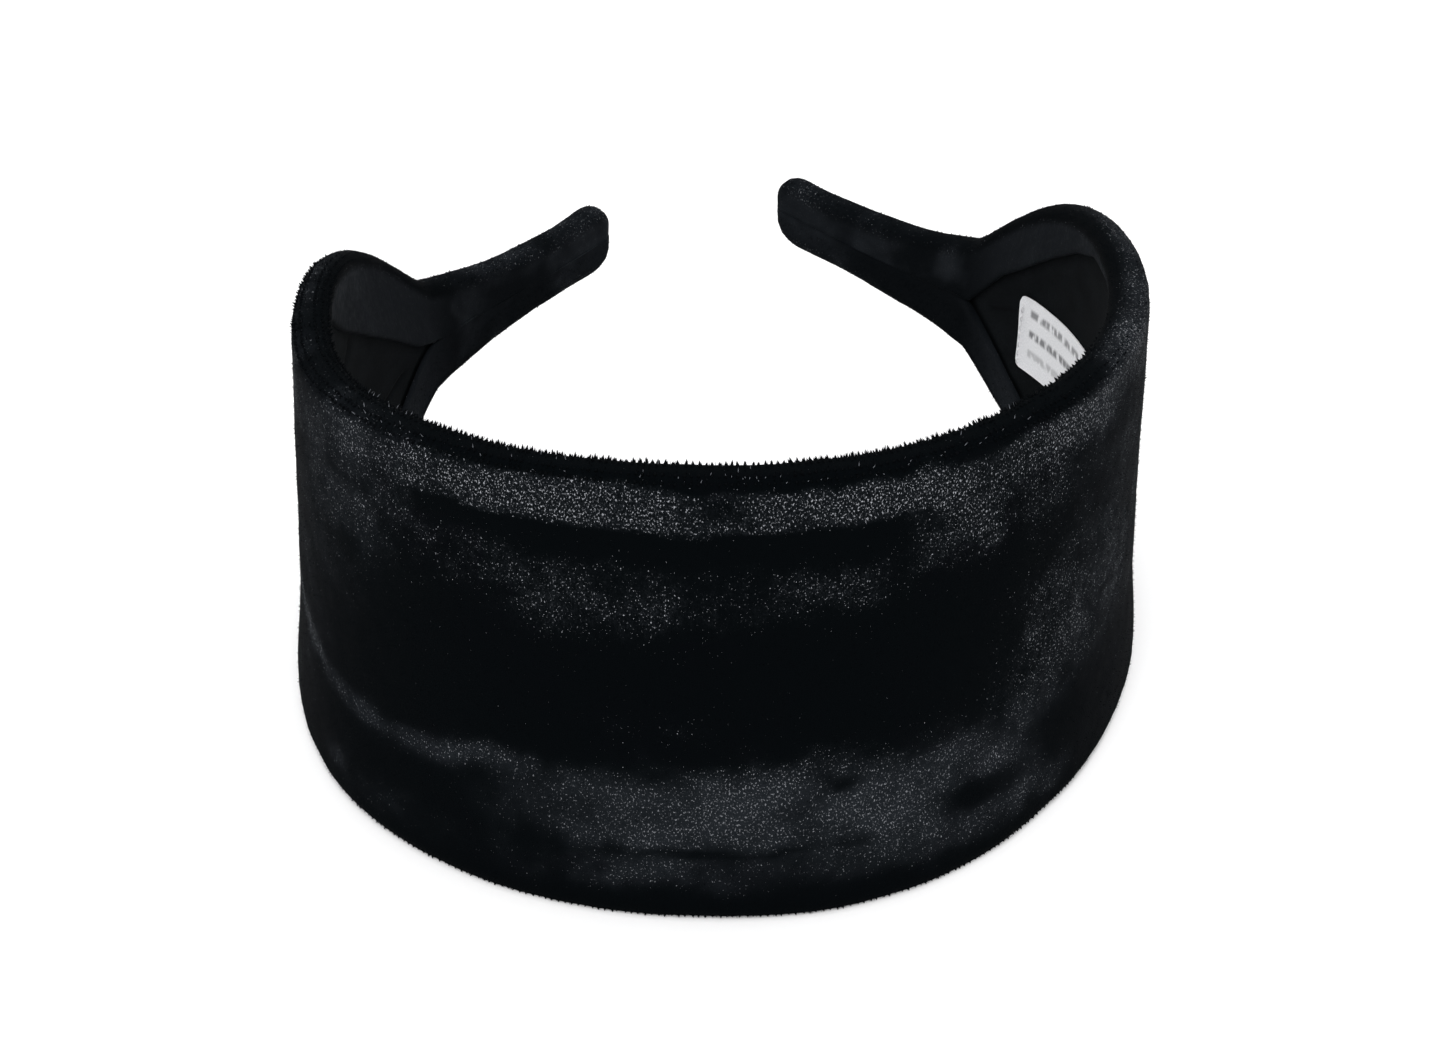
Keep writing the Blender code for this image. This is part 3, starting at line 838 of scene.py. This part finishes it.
class Look:
    """A Principled material, with short ways to add and join its nodes."""

    def __init__(self, name, colour, roughness, **uniform):
        self.made = bpy.data.materials.new(name)
        self.made.use_nodes = True
        self.tree = self.made.node_tree
        self.shader = self.tree.nodes["Principled BSDF"]
        self.shader.inputs["Base Color"].default_value = (*colour, 1.0)
        self.shader.inputs["Roughness"].default_value = roughness
        self.made.diffuse_color = (*colour, 1.0)
        for socket, value in uniform.items():
            self.shader.inputs[socket.replace("_", " ")].default_value = value

    def node(self, kind, inputs=(), **settings):
        made = self.tree.nodes.new(kind)
        for key, value in settings.items():
            setattr(made, key, value)
        for socket, value in dict(inputs).items():
            target = made.inputs[socket]
            if isinstance(value, bpy.types.NodeSocket):
                self.tree.links.new(value, target)
            else:
                target.default_value = value
        return made

    def attribute(self, name, output):
        return self.node("ShaderNodeAttribute", attribute_name=name).outputs[output]

    def math(self, operation, *values, clamp=False):
        inputs = dict(enumerate(values))
        made = self.node("ShaderNodeMath", inputs, operation=operation, use_clamp=clamp)
        return made.outputs[0]

    def noise(self, place, frequency, detail=2.0, roughness=0.6):
        """Noise with its own number of lumps per metre along and across the cloth."""
        inputs = {0: place, 1: (*frequency, 1.0)}
        place = self.node("ShaderNodeVectorMath", inputs, operation="MULTIPLY").outputs[0]
        inputs = {"Vector": place, "Scale": 1.0, "Detail": detail, "Roughness": roughness}
        return self.node("ShaderNodeTexNoise", inputs).outputs["Fac"]

    def ease(self, value, low, high):
        inputs = {"Value": value, "From Min": low, "From Max": high}
        made = self.node("ShaderNodeMapRange", inputs, interpolation_type="SMOOTHSTEP")
        return made.outputs["Result"]

    def blend_colours(self, factor, a, b):
        a, b = ((*c, 1.0) if isinstance(c, tuple) else c for c in (a, b))
        return self.node("ShaderNodeMix", {0: factor, 6: a, 7: b}, data_type="RGBA").outputs[2]

    def colour(self, socket):
        self.tree.links.new(socket, self.shader.inputs["Base Color"])

    def roughness(self, socket):
        self.tree.links.new(socket, self.shader.inputs["Roughness"])

    def bump(self, height, distance, strength=1.0):
        inputs = {"Height": height, "Distance": distance, "Strength": strength}
        made = self.node("ShaderNodeBump", inputs)
        self.tree.links.new(made.outputs["Normal"], self.shader.inputs["Normal"])


# The velvet's own dark colour, then the colours of its painted sheen, painted haze and painted
# glints.
VELVET_DARK = (0.0010, 0.0016, 0.0021)
VELVET_CRUSHED_SHEEN = (0.0090, 0.0108, 0.0130)
VELVET_MATT_HAZE = (0.0180, 0.0212, 0.0256)
VELVET_PAINTED_GLINT = (0.330, 0.340, 0.365)
STRAND = (3500.0, 2300.0)


def velvet_look():
    """Crushed velvet: dark where the pile stands; where it lies flat, its sheen and glints are
    painted into the colour as grey and pale specks.
    """
    look = Look("velvet_crushed", VELVET_DARK, 0.85, Specular_IOR_Level=0.015, Sheen_Weight=0.0)
    place = look.attribute("cloth", "Vector")
    crush_and_sheen = look.attribute("crush_and_sheen", "Fac")
    matt_and_haze = look.attribute("matt_and_haze", "Fac")
    strands = look.noise(place, STRAND, 2.0, 0.7)
    clumps = look.noise(place, (900.0, 620.0), 3.0, 0.65)
    uneven = look.math("MULTIPLY_ADD", clumps, 3.2, -0.60)
    pressed = look.math("MULTIPLY", crush_and_sheen, uneven, clamp=True)
    lying = look.ease(pressed, 0.02, 0.90)
    streaks = look.ease(strands, 0.36, 0.66)
    painted_sheen = look.math("MULTIPLY_ADD", streaks, 1.1, 0.10)
    painted_sheen = look.math("MULTIPLY", lying, painted_sheen, clamp=True)
    # Painted sheen: a lighter grey where the pile lies flat.
    grey = look.blend_colours(painted_sheen, VELVET_DARK, VELVET_CRUSHED_SHEEN)
    # Painted sheen haze: a greyer colour where the haze mask is set.
    painted_haze = look.blend_colours(look.math("MULTIPLY", crush_and_sheen, 0.85), VELVET_DARK, VELVET_MATT_HAZE)
    # The colour with its painted sheen and haze, before the painted glints.
    pile = look.blend_colours(matt_and_haze, grey, painted_haze)
    # Painted glints: pale specks in the colour, more of them where the pile lies flatter.
    limit = look.math("MULTIPLY_ADD", look.math("SQRT", pressed), -0.175, 0.745)
    bright = look.math("SUBTRACT", strands, limit)
    shiny = look.ease(matt_and_haze, 1.15, 0.0)
    painted_glints = look.math("MULTIPLY", look.ease(bright, 0.0, 0.09), shiny)
    look.colour(look.blend_colours(painted_glints, pile, VELVET_PAINTED_GLINT))
    look.roughness(look.ease(lying, 4.0, -0.9))
    look.bump(strands, 0.00012, 0.8)
    return look.made


def lining_look():
    """A black knit without shine, with fine wales along the band, painted darker in its folds as
    shading.
    """
    look = Look("lining_knit", (0.005, 0.0055, 0.006), 0.95, Specular_IOR_Level=0.02)
    place = look.attribute("cloth", "Vector")
    wales = look.noise(place, (1500.0, 4200.0), 2.0, 0.5)
    bloom = look.noise(place, (140.0, 180.0), 3.0, 0.55)
    crease_shading = look.attribute("crease_shading", "Fac")
    amount = look.math("MULTIPLY", look.ease(bloom, 0.30, 0.75), look.ease(wales, 0.20, 0.85))
    cloth = look.blend_colours(amount, (0.0034, 0.0042, 0.0048), (0.0066, 0.0080, 0.0092))
    # Painted shading: the lining is darker in its folds.
    look.colour(look.blend_colours(look.ease(crease_shading, 0.25, 1.4), cloth, (0.0020, 0.0020, 0.0022)))
    look.bump(wales, 0.00010, 0.7)
    return look.made


def label_look():
    """White satin with a soft diagonal weave and three rows of plain grey dashes."""
    look = Look("label_satin", (0.80, 0.80, 0.82), 0.45, Specular_IOR_Level=0.35, Sheen_Weight=0.2)
    place = look.attribute("cloth", "Vector")
    weave = look.noise(place, (5200.0, 2600.0), 1.0, 0.5)
    split = look.node("ShaderNodeSeparateXYZ", {0: place})
    u = split.outputs[0]
    v = split.outputs[1]
    ink = None
    for k, (height, weight) in enumerate(LABEL_LINES):
        away = look.math("ABSOLUTE", look.math("SUBTRACT", v, height))
        row = look.math("SUBTRACT", 1.0, look.ease(away, 0.00030, 0.00125))
        moved = look.node("ShaderNodeVectorMath", {0: place, 1: (k, k, 0.0)}).outputs[0]
        dashes = look.noise(moved, (620.0, 260.0), 1.0)
        inked = look.math("MULTIPLY", look.ease(dashes, 0.34, 0.54), weight)
        ends = look.ease(look.math("ABSOLUTE", u), 0.0158, 0.0150)
        row = look.math("MULTIPLY", look.math("MULTIPLY", row, inked), ends)
        ink = row if ink is None else look.math("MAXIMUM", ink, row)
    white = look.blend_colours(look.ease(weave, 0.2, 0.8), (0.60, 0.61, 0.63), (0.80, 0.80, 0.82))
    look.colour(look.blend_colours(ink, white, (0.10, 0.10, 0.11)))
    look.bump(weave, 0.00006, 0.6)
    return look.made


def core_look():
    """Moulded black plastic with a faint satin grain."""
    look = Look("core_moulded", (0.050, 0.050, 0.052), 0.45)
    place = look.attribute("cloth", "Vector")
    grain = look.noise(place, (2200.0, 2200.0), 3.0, 0.6)
    look.roughness(look.ease(grain, -1.2, 2.4))
    grains = look.ease(grain, 0.3, 0.7)
    look.colour(look.blend_colours(grains, (0.042, 0.042, 0.044), (0.056, 0.056, 0.058)))
    look.bump(grain, 0.00005, 0.5)
    return look.made


def foam_look():
    """Open-cell foam: pale grey, pitted all over, painted darker in its pits as shading."""
    look = Look("foam_open_cell", (0.300, 0.300, 0.310), 0.95, Specular_IOR_Level=0.1)
    place = look.attribute("cloth", "Vector")
    cells = look.node("ShaderNodeTexVoronoi", {"Vector": place, "Scale": 1700.0})
    cells = cells.outputs["Distance"]
    # Painted shading: the foam is darker in its pits.
    out_of_pit_shading = look.ease(cells, 0.1, 0.6)
    look.colour(look.blend_colours(out_of_pit_shading, (0.19, 0.19, 0.20), (0.34, 0.34, 0.35)))
    look.bump(cells, 0.00025, 0.9)
    return look.made


def thread_look(name, colour, shine):
    look = Look(name, colour, 0.8, Specular_IOR_Level=shine)
    place = look.node("ShaderNodeTexCoord").outputs["Object"]
    twist = look.noise(place, (5000.0, 5000.0), 1.0, 0.5)
    pale = tuple(1.6 * c for c in colour)
    look.colour(look.blend_colours(look.ease(twist, 0.3, 0.7), colour, pale))
    look.bump(twist, 0.00008, 0.7)
    return look.made


# ---- putting it together


def paint(piece, made):
    piece.data.materials.clear()
    piece.data.materials.append(made)


def dress(piece, made, stands_for=None):
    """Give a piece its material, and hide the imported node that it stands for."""
    paint(piece, made)
    if stands_for:
        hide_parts(stands_for)


def bend(piece, side):
    """Bake a piece's placement into its mesh. The bands at its arm's root and just past it are
    worked out, but nothing bends.
    """
    first = Band([side.sign * side.root])
    last = Band([side.sign * (side.root + BLEND_REACH)])
    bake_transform(piece)


def put_together():
    velvet = velvet_look()
    fringe = Look("velvet_fringe", (0.0018, 0.0024, 0.0030), 0.85, Specular_IOR_Level=0.02).made
    core = core_look()
    foam = foam_look()
    black_thread = thread_look("thread_black", (0.0022, 0.0024, 0.0028), 0.02)

    grid = build_velvet_grid()
    left_cut = -(LEFT.root - SLEEVE_OVERLAP)
    right_cut = RIGHT.root - SLEEVE_OVERLAP
    arms = ((LEFT, "left_arm", 17, -LEFT_LENGTH, left_cut),
            (RIGHT, "right_arm", 27, right_cut, RIGHT_LENGTH))

    cover = cut_velvet(grid, "panel_cover", left_cut, right_cut)
    dress(cover, velvet, "panel_velvet")
    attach(cover, "panel")
    pile = make_tufts(grid, "panel_pile", left_cut, right_cut, 9, 14000, 7)
    dress(pile, fringe)
    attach(pile, "panel")
    # Pale tips of pile along the upper edge, a painted highlight.
    glints = make_painted_glints(grid, "panel_pile_painted_glints", 37)
    tips = Look("velvet_painted_glints", (0.16, 0.17, 0.19), 0.6, Specular_IOR_Level=0.1).made
    dress(glints, tips)
    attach(glints, "panel")

    for side, arm, seed, start, end in arms:
        sleeve = cut_velvet(grid, arm + "_sleeve", start, end)
        dress(sleeve, velvet, arm + "_velvet")
        fuzz = make_tufts(grid, arm + "_pile", start, end, 8, 6000, seed)
        dress(fuzz, fringe)
        bend(sleeve, side)
        bend(fuzz, side)
        make_arm_inside(side, arm, core, foam, black_thread)

    paint(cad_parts["panel_core"], core)
    padding = make_panel_padding()
    dress(padding, foam, "panel_foam")
    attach(padding, "panel")

    lining = make_lining()
    dress(lining, lining_look(), "lining")
    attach(lining, "panel")

    label = make_label()
    dress(label, label_look(), "care_label")
    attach(label, "panel")
    stitches = make_label_stitches()
    pale_thread = thread_look("thread_pale", (0.45, 0.45, 0.46), 0.25)
    dress(stitches, pale_thread, "label_thread")
    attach(stitches, "panel")


# How far the core and foam stay from the velvet's edges and from the arms' roots and tips, and
# how far the foam presses into the velvet.
INSIDE_INSET = 0.0024
ROOT_INSET = 0.0004
TIP_INSET = 0.0042
FOAM_PRESS = 0.0001


def inner_depths(stations):
    """The depths of the core's inner face and of the foam's outer face."""
    band = Band(stations)
    inside = -0.5 * band.thickness + VELVET_TURNED + GAP
    inside += (LINING + GAP) * (1.0 - smooth(0.0, 0.015, past_root(band.s)))
    return band, inside, 0.5 * band.thickness - VELVET + FOAM_PRESS


def make_panel_padding():
    """The foam under the panel's velvet."""
    s = np.linspace(-LEFT.root + GAP, RIGHT.root - GAP, 260)
    band, inside, outside = inner_depths(s)
    low = -band.low + INSIDE_INSET
    high = band.high - INSIDE_INSET
    return strip("panel_padding", s, low, high, inside + CORE + GAP, outside, 24)


def make_arm_inside(side, arm, core, foam, thread):
    """The core, wadding and seam thread of an arm."""
    s = side.sign * np.linspace(side.root + ROOT_INSET, side.length - TIP_INSET, 70)
    if side.sign < 0.0:
        s = s[::-1]
    band, inside, outside = inner_depths(s)
    height, _ = tip_taper(band)
    low = -(band.low - INSIDE_INSET) * height
    high = (band.high - INSIDE_INSET) * height
    rod = strip(arm + "_spring", s, low, high, inside, inside + CORE, 8)
    dress(rod, core, arm + "_core")
    wadding = strip(arm + "_wadding", s, low, high, inside + CORE + GAP, outside, 8)
    dress(wadding, foam, arm + "_foam")
    seam = make_seam(side, arm)
    dress(seam, thread, arm + "_seam_thread")
    for piece in (rod, wadding, seam):
        bend(piece, side)


# The seam of a sleeve, from near its root to near its tip, and its stitches.
SEAM_FROM_ROOT = 0.0020
SEAM_FROM_TIP = 0.006
SEAM_PITCH = 0.0024
SEAM_STITCH = 0.0017
SEAM_REACH = 0.00055
SEAM_DEPTH = 0.00040
SEAM_BOW = 0.00010
SEAM_THREAD = 0.00009


def make_seam(side, arm):
    """Ladder stitches that draw the two edges of a sleeve together."""
    count = int((side.length - SEAM_FROM_TIP - side.root) / SEAM_PITCH)
    lines = []
    for k in range(count):
        begin = side.root + SEAM_FROM_ROOT + k * SEAM_PITCH
        t = np.linspace(0.0, 1.0, 5)
        band = Band(side.sign * (begin + SEAM_STITCH * t))
        across = SEAM_REACH * np.cos(math.pi * t)
        deep = -0.5 * band.thickness - PILE_PROUD + SEAM_DEPTH - SEAM_BOW * np.sin(math.pi * t)
        lines.append(band.point(across, deep))
    return round_thread(arm + "_stitches", lines, SEAM_THREAD)


# The label's stitches: how far they stay from its sides and its back edge, and so on.
LABEL_CLEAR = 0.0014
LABEL_HEM = 0.0011
LABEL_PITCH = 0.0019
LABEL_STITCH = 0.0012
LABEL_STITCH_LIFT = 0.00060
LABEL_STITCH_BOW = 0.00022
LABEL_THREAD = 0.00011


def make_label_stitches():
    """The short stitches along the label's back edge."""
    lines = []
    half = 0.5 * (LABEL_END - LABEL_START)
    places = np.arange(LABEL_LOW + LABEL_CLEAR, LABEL_HIGH - LABEL_CLEAR, LABEL_PITCH)
    for v in places - 0.5 * (LABEL_LOW + LABEL_HIGH):
        t = np.linspace(0.0, 1.0, 5)
        v = v + LABEL_STITCH * (t - 0.5)
        along, across = label_surface(np.full(5, half - LABEL_HEM), v)
        band = Band(along)
        lift = LABEL_STITCH_LIFT + LABEL_STITCH_BOW * np.sin(math.pi * t)
        deep = -0.5 * band.thickness + VELVET_TURNED + GAP - 1.5 * LINING_RAISED - lift
        lines.append(band.point(across, deep))
    return round_thread("label_stitches", lines, LABEL_THREAD)


# ---- floor, light and camera


def make_floor():
    floor = new_mesh("floor", [(-3, -3, 0), (3, -3, 0), (3, 3, 0), (-3, 3, 0)], [(0, 1, 2, 3)])
    look = Look("floor_white", (0.90, 0.90, 0.91), 0.9, Specular_IOR_Level=0.1)
    place = look.node("ShaderNodeTexCoord").outputs["Object"]
    speck = look.noise(place, (900.0, 900.0), 2.0)
    look.colour(look.blend_colours(speck, (0.975, 0.975, 0.98), (0.995, 0.995, 0.998)))
    paint(floor, look.made)


LIGHT_TARGET = (0.0, 0.0, 0.02)


def soft_light(name, place, size, power):
    """A square soft light aimed at the band."""
    data = bpy.data.lights.new(name, "AREA")
    data.size = size
    data.energy = power
    light = bpy.data.objects.new(name, data)
    light.location = place
    aim = Vector(LIGHT_TARGET) - Vector(place)
    light.rotation_euler = aim.to_track_quat("-Z", "Y").to_euler()
    bpy.context.scene.collection.objects.link(light)


def light_it():
    """Even white light all round, with soft lights above the front and back."""
    world = bpy.data.worlds.new("white_room")
    world.use_nodes = True
    background = world.node_tree.nodes["Background"]
    background.inputs["Color"].default_value = (1.0, 1.0, 1.0, 1.0)
    background.inputs["Strength"].default_value = 1.0
    bpy.context.scene.world = world
    soft_light("key", (-0.10, -0.55, 0.95), size=0.6, power=4.6)
    soft_light("top", (0.10, 0.40, 1.10), size=0.9, power=4.0)
    view = bpy.context.scene.view_settings
    view.view_transform = "Standard"
    view.look = "None"


CAMERA_PLACE = (-0.01721, -0.36194, 0.28042)
CAMERA_DOWN = math.radians(36.04)
CAMERA_TURN = math.radians(-3.214)
CAMERA_ROLL = math.radians(0.199)
CAMERA_LENS = 61.876
CAMERA_SHIFT = (-0.0072, -0.0087)


def place_camera():
    data = bpy.data.cameras.new("camera")
    data.lens = CAMERA_LENS
    data.sensor_width = 36.0
    data.shift_x, data.shift_y = CAMERA_SHIFT
    data.clip_start = 0.01
    data.dof.use_dof = False
    camera = bpy.data.objects.new("camera", data)
    turn = Matrix.Rotation(CAMERA_TURN, 4, "Z")
    turn = turn @ Matrix.Rotation(0.5 * math.pi - CAMERA_DOWN, 4, "X")
    turn = turn @ Matrix.Rotation(CAMERA_ROLL, 4, "Z")
    camera.matrix_world = Matrix.Translation(CAMERA_PLACE) @ turn
    bpy.context.scene.collection.objects.link(camera)
    bpy.context.scene.camera = camera


put_together()
make_floor()
light_it()
place_camera()
